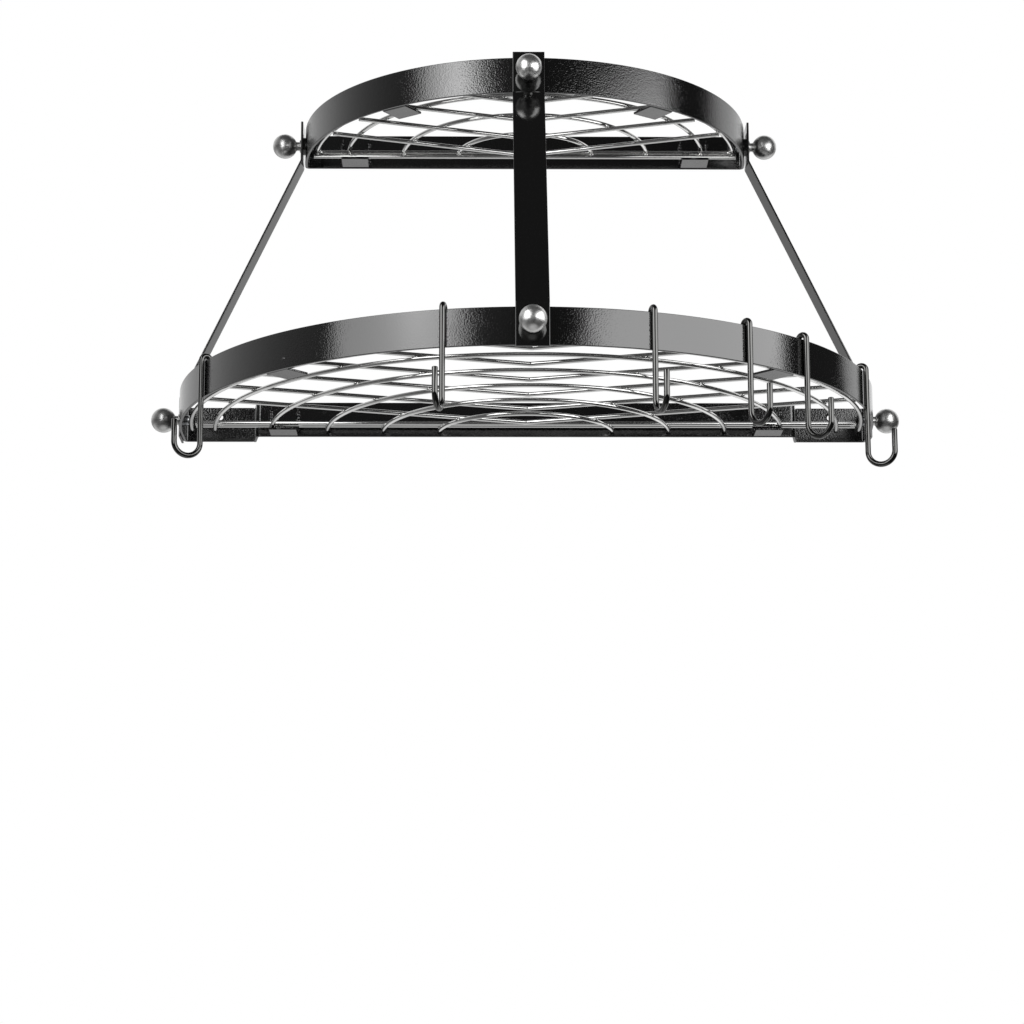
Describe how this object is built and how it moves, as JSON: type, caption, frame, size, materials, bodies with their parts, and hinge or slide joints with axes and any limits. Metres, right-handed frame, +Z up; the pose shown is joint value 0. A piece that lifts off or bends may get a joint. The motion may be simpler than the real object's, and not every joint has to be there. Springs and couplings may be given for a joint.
{
  "type": "wall-mounted pot rack",
  "caption": "Half-round tiered wall rack of flat bar with loose wire grids, bent straps held by ball knobs, and S-hooks on the lower rim for hanging cookware.",
  "frame": {"origin": "on the wall plane, midway between the two wall screw holes of the lower shelf", "axes": "+X to the right as seen from the room, +Y into the wall, +Z up; the rack lies on the -Y side"},
  "size_m": [0.666, 0.36, 0.3459],
  "materials": {
    "black_paint": "gloss",
    "chrome_wire": "polished",
    "pewter": "satin",
    "dark_chrome": "polished",
    "zinc_steel": "satin"
  },
  "bodies": {
    "rack": {"lower_band": "black_paint", "lower_back_bar": "black_paint", "upper_band": "black_paint", "upper_back_bar": "black_paint", "front_strap": "black_paint", "left_strap": "black_paint", "right_strap": "black_paint", "upper_front_clip_left": "black_paint", "upper_front_clip_right": "black_paint", "upper_back_clip_left": "black_paint", "upper_back_clip_right": "black_paint", "lower_front_clip_left": "black_paint", "lower_front_clip_right": "black_paint", "lower_back_clip_left": "black_paint", "lower_back_clip_right": "black_paint", "knob_upper_front": "pewter", "knob_upper_left": "pewter", "knob_upper_right": "pewter", "knob_lower_front": "pewter", "knob_lower_left": "pewter", "knob_lower_right": "pewter", "knob_screws": "zinc_steel", "lock_washers": "zinc_steel", "saddle_washers": "black_paint"},
    "upper_grid": {"upper_grid_arcs": "chrome_wire", "upper_grid_chevrons": "chrome_wire"},
    "lower_grid": {"lower_grid_arcs": "chrome_wire", "lower_grid_chevrons": "chrome_wire"},
    "hook_1": {"s_hook_1": "dark_chrome"},
    "hook_2": {"s_hook_2": "dark_chrome"},
    "hook_3": {"s_hook_3": "dark_chrome"},
    "hook_4": {"s_hook_4": "dark_chrome"},
    "hook_5": {"s_hook_5": "dark_chrome"},
    "hook_6": {"s_hook_6": "dark_chrome"}
  },
  "joints": [
    {"name": "upper_grid_lift", "type": "slide", "parent": "rack", "child": "upper_grid", "axis": [0, 0, 1], "range_m": [0, 0.05]},
    {"name": "lower_grid_lift", "type": "slide", "parent": "rack", "child": "lower_grid", "axis": [0, 0, 1], "range_m": [0, 0.035]},
    {"name": "hook_1_slide", "type": "hinge", "parent": "rack", "child": "hook_1", "pos_m": [0, -0.027, 0], "axis": [0, 0, 1], "range_deg": [-23.25, 16.25]},
    {"name": "hook_2_slide", "type": "hinge", "parent": "rack", "child": "hook_2", "pos_m": [0, -0.027, 0], "axis": [0, 0, 1], "range_deg": [-26.25, 10.05]},
    {"name": "hook_3_slide", "type": "hinge", "parent": "rack", "child": "hook_3", "pos_m": [0, -0.027, 0], "axis": [0, 0, 1], "range_deg": [-15, 7.8]},
    {"name": "hook_4_slide", "type": "hinge", "parent": "rack", "child": "hook_4", "pos_m": [0, -0.027, 0], "axis": [0, 0, 1], "range_deg": [-7.5, 5]},
    {"name": "hook_5_slide", "type": "hinge", "parent": "rack", "child": "hook_5", "pos_m": [0, -0.027, 0], "axis": [0, 0, 1], "range_deg": [-0.5, 10.5]},
    {"name": "hook_6_slide", "type": "hinge", "parent": "rack", "child": "hook_6", "pos_m": [0, -0.027, 0], "axis": [0, 0, 1], "range_deg": [-10.4, 17.2]}
  ]
}
